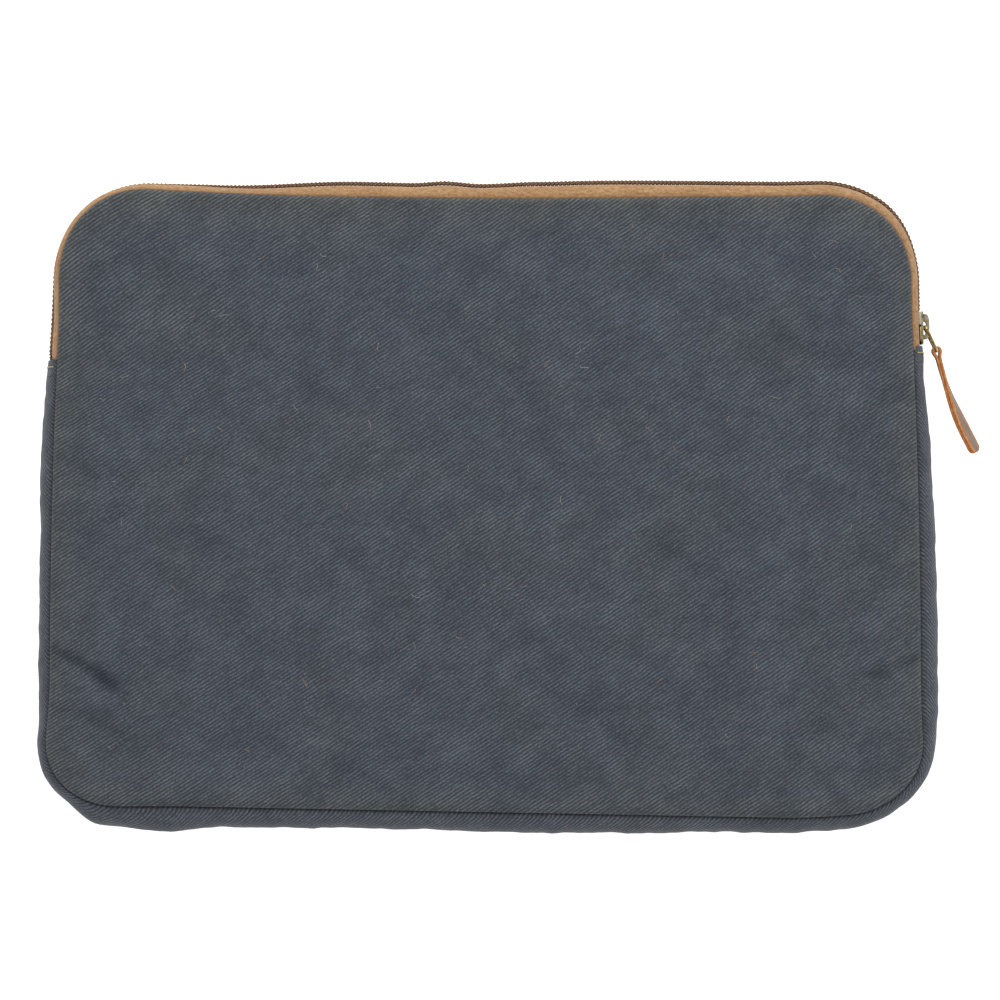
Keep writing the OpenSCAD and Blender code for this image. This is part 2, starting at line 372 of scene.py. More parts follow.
def twill_material(name, shades, olive, rim):
    """Washed cotton twill: diagonal ribs, broken into short floats, with uneven fading. olive is how much
    it yellows in patches, and rim tints the cloth beside its seams: a faded tint on the panels, a painted
    seam shadow on the gusset."""
    n = Nodes(name)
    uv = n.coords()
    along = n.mapped(uv, turn=-TWILL_ANGLE)
    wobble = 0.9 * n.noise(uv, (0.16, 0.16), 3) + 0.42 * n.noise(uv, (0.9, 0.9), 1)
    beads = n.noise(along, (0.95, 1.5), 3, 0.7)
    strand = n.noise(along, (0.14, 0.9), 2, 0.6)
    fuzz = n.noise(uv, (2.4, 2.4), 2, 0.75)
    worn = n.noise(uv, (0.11, 0.09), 3, 0.6)
    mottle = n.noise(uv, (0.05, 0.06), 4, 0.62)
    rib = n.wave(n.split(along)[1], TWILL_PITCH, wobble) * (0.45 + 0.9 * worn)
    floats = rib * (0.03 + 0.56 * beads)
    tone = floats + 0.38 * beads + 0.26 * strand + 0.38 * fuzz + 0.26 * (mottle - 0.5)
    # Painted shade darkens the cloth in its creases, and painted light brightens it on its ridges.
    tone = (tone - 0.22 * n.marked("crease_shading") - 0.18).clamped()
    colour = n.ramp(tone, list(zip((0.19, 0.47, 0.76), shades)))
    patch = n.noise(uv, (0.02, 0.024), 3, 0.55)
    colour = n.tint((2.6 * (patch - 0.42)).clamped() * olive, colour, (1.06, 1.03, 0.84))
    warm = n.noise(along, (0.05, 0.35), 2, 0.6)
    colour = n.tint((2.5 * (warm - 0.55)).clamped(), colour, (1.14, 0.98, 0.96))
    # Beside the seams: a faded tint on the panels, and on the gusset a painted shadow in the seam gap.
    colour = n.tint((n.marked("rim") * (0.12 + mottle)).clamped(), colour, rim)
    height = 1.3 * floats + 0.4 * beads + 0.3 * fuzz
    return n.finish(colour, 0.84 + 0.14 * beads, n.bump(height, 0.2, 0.85), Sheen_Weight=0.08,
                    Sheen_Roughness=0.5, Specular_IOR_Level=0.15)


def lining_material():
    """Plain weave, over and under, with slubs."""
    n = Nodes("lining")
    uv = n.coords()
    x, y, _ = n.split(uv)
    wobble = 0.3 * n.noise(uv, (0.3, 0.3), 2)
    pitch = 0.55
    weave = abs(n.wave(x, pitch, wobble) - n.wave(y, pitch, wobble))
    slub = n.noise(uv, (0.08, 1.6), 3, 0.6)
    stain = n.noise(uv, (0.03, 0.03), 3, 0.5)
    tone = 0.4 * weave + 0.4 * slub + 0.25 * stain
    colour = n.ramp(tone, [(0.2, (150, 138, 112)), (0.85, (196, 184, 156))])
    return n.finish(colour, 0.82 + 0.15 * slub, n.bump(weave + 0.6 * slub, 0.08, 0.7),
                    Sheen_Weight=0.1, Specular_IOR_Level=0.25)


def tape_material():
    """Zip tape: fine ribs along its length, with painted shade where it turns in at the seam."""
    n = Nodes("zip_tape")
    uv = n.coords()
    x, y, _ = n.split(uv)
    ribs = n.wave(y, 0.55, 0.2 * n.noise(uv, (0.2, 0.2), 2))
    picks = n.wave(x, 0.5)
    grain = n.noise(uv, (1.4, 3.0), 3, 0.65)
    fade = n.noise(uv, (0.05, 0.12), 3, 0.6)
    fluff = n.noise(uv, (0.5, 1.0), 3, 0.7)
    tone = (0.2 * ribs + 0.66 * grain + 1.3 * fluff + 0.4 * fade + 0.06 * picks - 0.76).clamped()
    colour = n.ramp(tone, [(0.2, (124, 88, 54)), (0.55, (170, 131, 90)), (0.9, (204, 166, 122))])
    # Painted shade where the tape turns in at the seam.
    seam_shade = (1.0 - 0.45 * y).clamped()
    colour = n.mix(0.55 * seam_shade, colour, srgb(118, 84, 56))
    return n.finish(colour, 0.78 + 0.2 * grain, n.bump(ribs + 0.5 * picks, 0.06, 0.6),
                    Sheen_Weight=0.15, Specular_IOR_Level=0.25)


def coil_material():
    """Brown nylon monofilament with paler worn crests."""
    n = Nodes("zip_coil")
    p = n.object_coords()
    wear = n.noise(p, 900, 3, 0.6)
    tone = 0.6 * wear + 0.4 * n.noise(p, 150, 2, 0.5)
    colour = n.ramp(tone, [(0.3, (54, 32, 22)), (0.55, (104, 70, 50)), (0.8, (158, 118, 92))])
    return n.finish(colour, 0.32 + 0.25 * wear, n.bump(wear, 0.02, 0.3), Specular_IOR_Level=0.5)


def thread_material(name, dark, light):
    """Twisted sewing thread."""
    n = Nodes(name)
    p = n.object_coords()
    x, y, z = n.split(p)
    twist = n.wave(x + y + z, 0.45 * MM)
    fibre = n.noise(p, 1800, 2, 0.6)
    colour = n.ramp(0.5 * twist + 0.6 * fibre, [(0.2, dark), (0.8, light)])
    return n.finish(colour, 0.6 + 0.25 * fibre, n.bump(twist, 0.05, 0.6), Sheen_Weight=0.2,
                    Specular_IOR_Level=0.3)


def brass_material(name, shades, rough, grainy=0.3):
    """Antique metal: painted shade in its hollows, rubbed bright in patches, finely scratched."""
    n = Nodes(name)
    p = n.object_coords()
    patina = n.noise(p, 420, 4, 0.62)
    grain = n.noise(n.mapped(p, (1, 6, 1)), 900, 3, 0.7)
    corner = n.put("ShaderNodeNewGeometry", "Pointiness")
    tone = (patina * (1.05 - grainy) + grain * grainy + 2.0 * (corner - 0.5)).clamped()
    colour = n.ramp(tone, list(zip((0.25, 0.5, 0.78), shades)))
    # Painted shade: an ambient occlusion mask darkens the colour in hollows and between parts.
    open_air = n.put("ShaderNodeAmbientOcclusion", "AO", {"samples": 8}, Distance=2.2 * MM)
    painted_hollow_shade = srgb(*[0.35 * c for c in shades[0]])
    colour = n.mix((1.9 * (open_air - 0.30)).clamped(), painted_hollow_shade, colour)
    roughness = (rough + grainy * grain + 0.1 * patina).clamped()
    return n.finish(colour, roughness, n.bump(patina + 3 * grainy * grain, 0.03, 0.3), Metallic=1.0)


def leather_edge_material():
    """Raw cut edge of leather: orange-tan, fibrous, darker in the line between the two layers."""
    n = Nodes("leather_edge")
    uv = n.coords()
    fibre = n.noise(uv, (0.8, 3.2), 4, 0.7)
    blotch = n.noise(uv, (0.35, 0.8), 3, 0.6)
    tone = 0.6 * fibre + 0.5 * blotch
    colour = n.ramp(tone, [(0.36, (124, 68, 32)), (0.53, (188, 118, 64)), (0.70, (226, 172, 116))])
    join = (1.0 - 5.0 * abs(n.split(uv)[1])).clamped()
    colour = n.mix(0.45 * join, colour, srgb(120, 62, 30))
    return n.finish(colour, 0.7 + 0.2 * fibre, n.bump(fibre - 0.8 * join, 0.12, 0.7),
                    Specular_IOR_Level=0.3)


def leather_face_material():
    """Grey-brown face of the strip, with a fine nap and pores."""
    n = Nodes("leather_face")
    uv = n.coords()
    nap = n.noise(uv, (2.2, 2.8), 4, 0.7)
    tone = 0.5 * nap + 0.55 * n.noise(uv, (0.15, 0.3), 3, 0.6)
    colour = n.ramp(tone, [(0.3, (98, 79, 67)), (0.55, (138, 118, 104)), (0.8, (170, 152, 138))])
    return n.finish(colour, 0.72 + 0.2 * nap, n.bump(nap, 0.1, 0.6), Sheen_Weight=0.1,
                    Specular_IOR_Level=0.25)


def foam_material():
    """Grey open-cell foam."""
    n = Nodes("foam")
    p = n.object_coords()
    cells = n.put("ShaderNodeTexVoronoi", "Distance", {"feature": "F1"}, Vector=p, Scale=1300.0)
    tone = 0.7 * cells + 0.4 * n.noise(p, 90, 3, 0.6)
    colour = n.ramp(tone, [(0.15, (104, 106, 110)), (0.8, (150, 152, 155))])
    return n.finish(colour, 0.85 + 0.1 * cells, n.bump(cells, 0.25, 0.6))


def lint_material():
    """Pale fluff caught on the cloth."""
    n = Nodes("lint")
    p = n.object_coords()
    tone = n.noise(p, 40, 1, 0.5)
    colour = n.ramp(tone, [(0.4, (190, 186, 176)), (0.55, (205, 150, 96)), (0.7, (176, 184, 190))])
    return n.finish(colour, 0.8 + 0.15 * tone, n.bump(n.noise(p, 3000, 1), 0.02, 0.3),
                    Specular_IOR_Level=0.2)


# Dark, middle and light shades of each cloth and metal
PANEL_TWILL = ((46, 51, 60), (72, 78, 88), (112, 119, 128))
GUSSET_TWILL = ((49, 53, 60), (79, 83, 91), (116, 121, 129))
CASTING_BRASS = ((22, 18, 11), (80, 68, 42), (200, 186, 140))
NOSE_BRASS = ((122, 114, 94), (166, 158, 138), (214, 208, 190))
BRIDGE_BRASS = ((70, 64, 48), (132, 124, 102), (200, 194, 172))
LINK_BRASS = ((74, 58, 28), (150, 122, 66), (228, 210, 160))

MATERIALS = {
    "twill": twill_material("twill", PANEL_TWILL, 0.5, (1.16, 1.08, 0.90)),
    # The gusset's rim factors darken it beside its seams: a painted shadow in the seam gap.
    "gusset": twill_material("twill_gusset", GUSSET_TWILL, 0.3, (0.40, 0.40, 0.43)),
    "lining": lining_material(),
    "foam": foam_material(),
    "tape": tape_material(),
    "coil": coil_material(),
    "cord": thread_material("coil_cord", (132, 100, 76), (186, 150, 120)),
    "thread": thread_material("coil_thread", (120, 86, 52), (186, 146, 100)),
    "end_thread": thread_material("end_thread", (168, 132, 70), (222, 196, 138)),
    "slider": brass_material("antique_brass", CASTING_BRASS, 0.3),
    "slider_nose": brass_material("rubbed_brass", NOSE_BRASS, 0.4),
    "slider_bridge": brass_material("bridge_brass", BRIDGE_BRASS, 0.4),
    "link": brass_material("link_brass", LINK_BRASS, 0.22, 0.01),
    "leather_edge": leather_edge_material(),
    "leather_face": leather_face_material(),
    "lint": lint_material(),
}


def dress(obj, *names):
    """Gives an object its materials, one slot each."""
    for name in names:
        obj.data.materials.append(MATERIALS[name])


# ---------------------------------------------------------------- the outline of the sleeve

SEGMENTS = [
    # kind, start or centre, length or radius, heading or start angle; anticlockwise from the right zip end
    ("line", (HALF_W, ZIP_END_Y), HALF_H - TOP_R - ZIP_END_Y, 90),
    ("arc", (HALF_W - TOP_R, HALF_H - TOP_R), TOP_R, 0),
    ("line", (HALF_W - TOP_R, HALF_H), 2 * (HALF_W - TOP_R), 180),
    ("arc", (-HALF_W + TOP_R, HALF_H - TOP_R), TOP_R, 90),
    ("line", (-HALF_W, HALF_H - TOP_R), 2 * HALF_H - TOP_R - BOTTOM_R, 270),
    ("arc", (-HALF_W + BOTTOM_R, -HALF_H + BOTTOM_R), BOTTOM_R, 180),
    ("line", (-HALF_W + BOTTOM_R, -HALF_H), 2 * (HALF_W - BOTTOM_R), 0),
    ("arc", (HALF_W - BOTTOM_R, -HALF_H + BOTTOM_R), BOTTOM_R, 270),
    ("line", (HALF_W, -HALF_H + BOTTOM_R), ZIP_END_Y + HALF_H - BOTTOM_R, 90),
]
LENGTHS = [seg[2] * (math.pi / 2 if seg[0] == "arc" else 1) for seg in SEGMENTS]
STARTS = np.concatenate([[0], np.cumsum(LENGTHS)])
ZIP_LENGTH = STARTS[4] + HALF_H - TOP_R - ZIP_END_Y
PERIMETER = STARTS[-1]


def cut_outline(s):
    """Point and outward direction at length s along the cut outline of a panel."""
    k = int(np.clip(np.searchsorted(STARTS, s, side="right") - 1, 0, len(SEGMENTS) - 1))
    kind, place, size, angle = SEGMENTS[k]
    run = s - STARTS[k]
    if kind == "line":
        a = math.radians(angle)
        return (place[0] + run * math.cos(a), place[1] + run * math.sin(a),
                math.sin(a), -math.cos(a))
    a = math.radians(angle) + run / size
    return place[0] + size * math.cos(a), place[1] + size * math.sin(a), math.cos(a), math.sin(a)


# How far each corner stands out past the cut's round corner, sideways and lengthways
CORNER_PUSH = {(-1, 1): (2.4, 2.0), (1, 1): (1.7, 1.7), (-1, -1): (3.4, 1.0), (1, -1): (1.8, -3.4)}


def corner_push(x, y):
    """How far the corners push a point sideways and lengthways."""
    reach = 52.0
    near = smooth((np.abs(x) - HALF_W + reach) / reach) * smooth((np.abs(y) - HALF_H + reach) / reach)
    push_x, push_y = np.zeros_like(near), np.zeros_like(near)
    for (side_x, side_y), (sideways, lengthways) in CORNER_PUSH.items():
        here = near * (np.sign(x) == side_x) * (np.sign(y) == side_y)
        push_x = push_x + here * side_x * sideways
        push_y = push_y + here * side_y * lengthways
    return push_x, push_y


def lie(x, y):
    """Where a point of the flat cut panel lies on the soft sleeve: it flares towards the closed edge,
    and its long edges are a little uneven."""
    flare = 0.024 * (1 - ((y + 75) / 155) ** 2)
    top = -1.0 - 0.8 * np.exp(-((x - 15) / 60) ** 2) + 2.3 * np.exp(-((x + 140) / 50) ** 2)
    bottom = -0.0192 * (x + 8)
    w_top = np.clip(y / HALF_H, 0, 1) ** 2
    w_bottom = np.clip(-y / HALF_H, 0, 1) ** 2
    ends = (0.013 * x - 0.8) * np.exp(-((y - ZIP_END_Y) / 22) ** 2)
    push_x, push_y = corner_push(x, y)
    return x * (1 + flare) + push_x, y + w_top * top + w_bottom * bottom + ends + push_y


def seam(stations):
    """Points and outward directions along the seam as it lies."""
    cut = np.array([cut_outline(s % PERIMETER) for s in stations])
    x, y = lie(cut[:, 0], cut[:, 1])
    return np.stack([x, y], 1), cut[:, 2:]


# How far the zip stands out past the seam, along its length from the right end to the left one
ZIP_OUT = [(0, 3.9), (34, 3.85), (60, 5.6), (90, 6.4), (170, 7.4), (192, 7.1), (215, 6.2), (229, 7.1),
           (242, 6.3), (264, 6.5), (320, 3.6), (370, 2.2), (430, 4.0)]
# How far the tape bellies over the chain and hides it
TAPE_BELLY = [(0, 1.3), (30, 1.4), (70, 0.6), (295, 0.6), (345, 1.6), (390, 1.9), (412, 1.0), (430, 0.7)]
# How far the gusset stands out past the seam, from the left zip end round to the right one
GUSSET_OUT = [(0, 4.2), (45, 5.6), (80, 4.8), (116, 5.2), (150, 4.0), (176, 4.5), (189, 8.2), (214, 10.2),
              (230, 8.4), (300, 7.6), (340, 8.2), (460, 6.2), (495, 5.0), (540, 7.4), (600, 6.7),
              (666, 4.4)]
# How far the chain's outer edge lies past its middle line
COIL_DEPTH = 2.0


# ---------------------------------------------------------------- panels

CREASE_DEPTH = 1.9
# Creases in the cloth: start, end, depth and half width; a negative depth is a ridge
CREASES = [
    ((-169, -57), (-147, -71), 1.0, 2.2),
    ((-168, -79), (-140, -92), 0.5, 2.6),
    ((-150, -66), (-136, -86), 0.4, 3.0),
    ((-162, -68), (-150, -80), -0.4, 3.0),
    ((169, -60), (150, -67), 0.7, 2.2),
    ((168, -70), (156, -62), -0.4, 2.6),
    ((-95, 62), (-60, 40), 0.35, 5.0),
    ((-20, 70), (30, 30), 0.3, 6.0),
    ((60, -10), (105, -45), 0.35, 5.0),
    ((100, 75), (140, 50), 0.3, 5.0),
    ((-120, -10), (-85, -35), 0.3, 5.0),
    ((20, -70), (62, -98), 0.35, 5.0),
    ((-60, -100), (-30, -118), 0.4, 3.5),
    ((118, -96), (140, -117), 0.4, 3.5),
    ((-10, -104), (8, -120), 0.35, 3.0),
    ((150, 8), (168, -6), 0.4, 3.0),
    ((-168, 20), (-152, 8), 0.35, 3.0),
]


def crease_depth(x, y):
    """How far the creases press the cloth in at each point."""
    total = np.zeros_like(x)
    for (x0, y0), (x1, y1), depth, width in CREASES:
        dx, dy = x1 - x0, y1 - y0
        length = math.hypot(dx, dy)
        t = ((x - x0) * dx + (y - y0) * dy) / length ** 2
        off = ((x - x0) * dy - (y - y0) * dx) / length
        off = off + 1.2 * np.sin(np.clip(t, 0, 1) * math.pi)
        fade = smooth((t + 0.25) / 0.35) * smooth((1.25 - t) / 0.35)
        total += CREASE_DEPTH * depth * fade * np.exp(-(np.abs(off) / width) ** 1.4)
    return total


def panel_grid(step, inset=0.0):
    """Grid of flat points over the cut panel, its corners drawn in to the round ones, and how far
    each is from the seam."""
    half = np.array([HALF_W - inset, HALF_H - inset])
    cols = int(round(2 * half[0] / step)) + 1
    rows = int(round(2 * half[1] / step)) + 1
    # Finer cells towards the seam, where the cloth turns down
    def spread(count):
        u = np.linspace(-1, 1, count)
        return u * (1.12 - 0.12 * u * u)
    gx, gy = np.meshgrid(spread(cols), spread(rows))
    reach = np.maximum(np.abs(gx), np.abs(gy))
    safe = np.maximum(reach, 1e-6)
    bx, by = gx / safe * half[0], gy / safe * half[1]
    radius = np.where(by > 0, TOP_R, BOTTOM_R) - inset
    ox = np.abs(bx) - (half[0] - radius)
    oy = np.abs(by) - (half[1] - radius)
    corner = (ox > 0) & (oy > 0)
    # Along the ray from the middle, where the round corner is met
    cx, cy = half[0] - radius, half[1] - radius
    ax, ay = np.abs(bx), np.abs(by)
    a = ax ** 2 + ay ** 2
    b = -2 * (ax * cx + ay * cy)
    c = cx ** 2 + cy ** 2 - radius ** 2
    root = np.sqrt(np.maximum(b * b - 4 * a * c, 0))
    pull = np.where(corner, (-b + root) / (2 * a), 1.0)
    scale = 1 - (1 - pull) * reach ** 6
    x, y = gx * half[0] * scale, gy * half[1] * scale
    edge = (1 - reach) * np.minimum(half[0], half[1])
    return x, y, edge, rows, cols


def simulate_pad(name, z0, z1, inset):
    """A foam pad that cloth simulation has plumped: a closed plate, remeshed and blown up a little."""
    # The plate starts smaller than the pad, because the pressure swells it
    margin, slack = 1.2, 0.5
    x, y, _, rows, cols = panel_grid(8.0, inset + margin)
    x, y = lie(x, y)
    low = np.stack([x.ravel(), y.ravel(), np.full(x.size, z0 + slack)], 1)
    high = low + (0, 0, z1 - z0 - 2 * slack)
    faces = grid_faces(rows, cols)
    count = len(low)
    shell = [tuple(reversed(f)) for f in faces] + [tuple(i + count for i in f) for f in faces]
    rim = list(range(cols)) + [i * cols + cols - 1 for i in range(1, rows)]
    rim += [(rows - 1) * cols + j for j in range(cols - 2, -1, -1)]
    rim += [i * cols for i in range(rows - 2, 0, -1)]
    for a, b in zip(rim, rim[1:] + rim[:1]):
        shell.append((a, b, b + count, a + count))
    pad = make_mesh(name, np.vstack([low, high]), shell)
    scene = bpy.context.scene
    remesh = pad.modifiers.new("remesh", "REMESH")
    remesh.mode = "VOXEL"
    remesh.voxel_size = 1.6 * MM
    apply_modifiers(pad)
    before = coordinates(pad)
    cloth = pad.modifiers.new("cloth", "CLOTH")
    cloth.settings.use_pressure = True
    cloth.settings.uniform_pressure_force = 1.5
    cloth.settings.effector_weights.gravity = 0
    cloth.settings.quality = 4
    cloth.settings.tension_stiffness = 30
    cloth.settings.bending_stiffness = 2
    cloth.collision_settings.use_collision = False
    frames = 12
    cloth.point_cache.frame_start = 1
    cloth.point_cache.frame_end = frames
    for number in range(1, frames + 1):
        scene.frame_set(number)
    apply_modifiers(pad)
    scene.frame_set(1)
    cap_moves(pad, before, 0.9)
    return pad


def cap_moves(obj, before, most):
    """No point moves further than most millimetres from where it was."""
    moved = coordinates(obj) - before
    size = np.linalg.norm(moved, axis=1)
    keep = np.minimum(1, most * MM / np.maximum(size, 1e-9))
    move_points(obj, before + moved * keep[:, None])


def apply_modifiers(obj):
    """Replaces the mesh by what its modifiers make of it."""
    graph = bpy.context.evaluated_depsgraph_get()
    mesh = bpy.data.meshes.new_from_object(obj.evaluated_get(graph), depsgraph=graph)
    old = obj.data
    obj.modifiers.clear()
    obj.data = mesh
    mesh.shade_smooth()
    bpy.data.meshes.remove(old)


def surface_heights(pad, x, y, side):
    """How high the pad's upper (side 1) or lower (side -1) face lies over each point."""
    tree = BVHTree.FromObject(pad, bpy.context.evaluated_depsgraph_get())
    far = 0.2
    found = np.full(x.size, np.nan)
    for i, (px, py) in enumerate(zip(x.ravel() * MM, y.ravel() * MM)):
        hit = tree.ray_cast(Vector((px, py, side * far)), Vector((0, 0, -side)))[0]
        if hit is not None:
            found[i] = hit.z / MM
    return found.reshape(x.shape)


def settle(grid, times):
    """Evens out a grid of heights, its edge kept."""
    for _ in range(times):
        inner = (grid[:-2, 1:-1] + grid[2:, 1:-1] + grid[1:-1, :-2] + grid[1:-1, 2:]) / 4
        grid[1:-1, 1:-1] = 0.5 * grid[1:-1, 1:-1] + 0.5 * inner
    return grid


def skin_panel(name, pad, side, seed, material, step, thickness, seam_z, drop, inset=0.0, crown=0.0,
               creases=True, gap=0.15):
    """A cloth panel that follows its pad and turns in to the seam at its edge. side is 1 where the
    outer face looks up and -1 where it looks down. drop is how far the edge rolls down, and crown is
    how far the middle swells."""
    x, y, edge, rows, cols = panel_grid(step, inset)
    lx, ly = lie(x, y)
    rest = surface_heights(pad, lx, ly, side)
    face = np.nanmax(rest) if side > 0 else np.nanmin(rest)
    z = np.where(np.isnan(rest), face - side * 0.4, rest)
    z = settle(z, 12) + side * (thickness + gap)
    z += side * crown * (1 - (lx / HALF_W / 1.05) ** 2) * (1 - (ly / HALF_H / 1.08) ** 2)
    relief = 0.22 * ripples(lx / 55, ly / 45, seed, 3) + 0.08 * ripples(lx / 9, ly / 14, seed + 3, 2)
    near = np.exp(-edge / 14)
    stations = np.arctan2(ly / HALF_H, lx / HALF_W) * 40
    relief += near * 0.30 * ripples(stations, edge / 20, seed + 7, 2)
    if creases:
        relief -= crease_depth(lx, ly) if side > 0 else 0.6 * crease_depth(lx, -ly)
    z += side * relief * smooth(edge / 6)
    turn = np.clip(1 - edge / 2.6, 0, 1)
    z = z * (1 - smooth(1 - edge / 9)) + (seam_z + side * drop) * smooth(1 - edge / 9)
    z -= side * drop * (1 - np.sqrt(np.maximum(1 - turn ** 2, 0)))
    verts = np.stack([lx, ly, z], -1).reshape(-1, 3)
    uvs = np.stack([x, y], -1).reshape(-1, 2)
    faces = grid_faces(rows, cols)
    if side < 0:
        faces = [tuple(reversed(f)) for f in faces]
    obj = make_mesh(name, verts, faces, uvs)
    if creases:
        # Crease depth kept for the material's painted shade in creases and painted light on ridges.
        depth = crease_depth(lx, side * ly) / CREASE_DEPTH
        mark(obj, "crease_shading", depth * np.minimum(1, np.abs(depth) / 0.6))
        mark(obj, "rim", np.exp(-(edge / 7) ** 2) + 0.5 * smooth((ly - HALF_H + 24) / 20))
    solidify(obj, thickness)
    dress(obj, material)
    return obj


# ---------------------------------------------------------------- strips round the edge

def strip(name, stations, width_steps, profile, uv_of, thickness, material, inward=False):
    """A strip of cloth along the seam. profile(station index, v) gives distance out and height."""
    points, out = seam(stations)
    v = np.linspace(0, 1, width_steps)
    verts, uvs = [], []
    for i, s in enumerate(stations):
        dist, z = profile(i, v)
        verts.append(np.stack([points[i, 0] + out[i, 0] * dist, points[i, 1] + out[i, 1] * dist, z], 1))
        uvs.append(uv_of(s, v))
    faces = grid_faces(len(stations), width_steps)
    if inward:
        faces = [tuple(reversed(f)) for f in faces]
    obj = make_mesh(name, np.vstack(verts), faces, np.vstack(uvs))
    # Nearness to the strip's two seams; the gusset's material paints a shadow there.
    mark(obj, "rim", np.tile(np.exp(-(v / 0.05) ** 2) + np.exp(-((1 - v) / 0.05) ** 2), len(stations)))
    solidify(obj, thickness)
    dress(obj, material)
    return obj


# How far the gusset's edges lie in under the panels' rolled edges
TUCK = 0.8


def gusset_profile(stations, seed, shrink=0.0, pucker=1.0):
    """Section of the gusset at each station: seam, belly, seam, with puckers from the sewing. shrink
    is how far inside the outer face it lies, one number or one for each station."""
    local = np.array(stations) - ZIP_LENGTH
    shrink = np.broadcast_to(shrink, local.shape)
    out = keyed(local, GUSSET_OUT) - shrink
    wavy = 0.42 * ripples(local / 24, local * 0, seed, 2) + 0.2 * ripples(local / 6, local * 0, seed + 2, 1)

    def profile(i, v):
        belly = np.sin(v * math.pi) ** 0.72
        fold = np.array([ripple(local[i] / 7, 3 * t, seed + 5, 2) for t in v])
        dist = (out[i] + pucker * wavy[i]) * belly + pucker * 0.36 * fold * belly
        top, low = THICKNESS - 2.0 - shrink[i], 1.6 + shrink[i]
        z = top - (top - low) * (0.5 - 0.5 * np.cos(v * math.pi)) ** 0.92
        tuck = TUCK * (np.exp(-v / 0.04) + np.exp((v - 1) / 0.04))
        return dist + 0.15 - tuck, z
    return profile


def zip_profile(stations, front):
    """Section of one half of the zip tape: out of the seam, over a belly and flat beside the chain."""
    out = keyed(stations, ZIP_OUT) - COIL_DEPTH
    belly = keyed(stations, TAPE_BELLY)
    sign = 1 if front else -1
    seed = 11 if front else 17

    def profile(i, v):
        s = stations[i]
        wave = 0.22 * ripple(s / 22, seed, 0, 2)
        dist = out[i] * (1 - (1 - v) ** 2.2) + (belly[i] + wave) * np.sin(v * math.pi) ** 1.2
        high = MID_Z - 1.25
        z = MID_Z + sign * (high - (high - 0.9) * v ** 1.1)
        return dist + 0.05, z
    return profile


def evenly(start, end, step):
    """Stations from start to end, about step apart."""
    return np.linspace(start, end, max(2, int(round(abs(end - start) / step)) + 1))


def build_pad(name, box, *nodes):
    """A foam pad between the heights of its CAD box."""
    pad = simulate_pad(name, box[0][2], box[1][2], PAD_INSET)
    dress(pad, "foam")
    stands_for(pad, "foam", *nodes)
    place(pad, len(nodes) > 1)
    return pad


def build_panels():
    front_pad = build_pad("front_padding_pad", FRONT_PAD, "front_padding_lower", "front_padding_upper")
    back_pad = build_pad("back_padding_pad", BACK_PAD, "back_padding")
    front = skin_panel("front_panel", front_pad, 1, 2.0, "twill", 2.0, CLOTH_THICK, THICKNESS - 1.0,
                       drop=1.2, crown=0.5)
    apply_modifiers(front)
    add_lint(front)
    press_creases(front_pad, 1)
    back = skin_panel("back_panel_cloth", back_pad, -1, 31.0, "twill", 2.4, CLOTH_THICK, 1.0, drop=1.0)
    keep_above_floor(back)
    press_creases(back_pad, -1)
    inner = {"drop": 0.3, "inset": 0.8, "creases": False, "gap": 0.3}
    front_lining = skin_panel("front_lining", front_pad, -1, 51.0, "lining", 2.2, LINING_THICK,
                              FRONT_LINING[0][2] + 0.5, **inner)
    back_lining = skin_panel("back_lining_cloth", back_pad, 1, 71.0, "lining", 3.0, LINING_THICK,
                             BACK_LINING[1][2] - 0.5, **inner)
    pare_fold(front_pad)
    for obj, under, slot, *nodes in (
        (front, front_pad, "twill", "front_panel_lower", "front_panel_upper"),
        (back, back_pad, "twill", "back_panel"),
        (front_lining, front_pad, "lining", "front_lining_lower", "front_lining_upper"),
        (back_lining, back_pad, "lining", "back_lining"),
    ):
        stands_for(obj, slot, *nodes)
        PANEL_CUT_AREA * MM ** 2
        place(obj, len(nodes) > 1)


def place(obj, blend):
    """The piece rides on the sleeve, or has its place baked into its mesh."""
    if blend:
        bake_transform(obj)
    else:
        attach(obj, "sleeve")


def press_creases(pad, side):
    """The foam gives way under the cloth's creases and ripples."""
    points = coordinates(pad)
    x, y, z = points.T / MM
    middle = (z.min() + z.max()) / 2
    give = 0.45 + (crease_depth(x, y) if side > 0 else 0.6 * crease_depth(x, -y))
    points[:, 2] -= np.where((z - middle) * side > 0, side * np.maximum(give, 0), 0) * MM
    move_points(pad, points)


def pare_fold(pad):
    """The inner face of the foam is cut thinner where the flap bends."""
    points = coordinates(pad)
    y, z = points[:, 1] / MM, points[:, 2] / MM
    middle = (z.min() + z.max()) / 2
    first, last = BEND_START[1] / MM, BEND_END[1] / MM
    near = smooth((y - first + 8) / 8) * smooth((last + 8 - y) / 8)
    points[:, 2] += np.where(z < middle, 1.4 * near, 0) * MM
    move_points(pad, points)


def keep_above_floor(obj):
    """Flattens what would lie below the surface that the sleeve rests on."""
    points = coordinates(obj)
    points[:, 2] = np.maximum(points[:, 2], 0.05 * MM)
    move_points(obj, points)


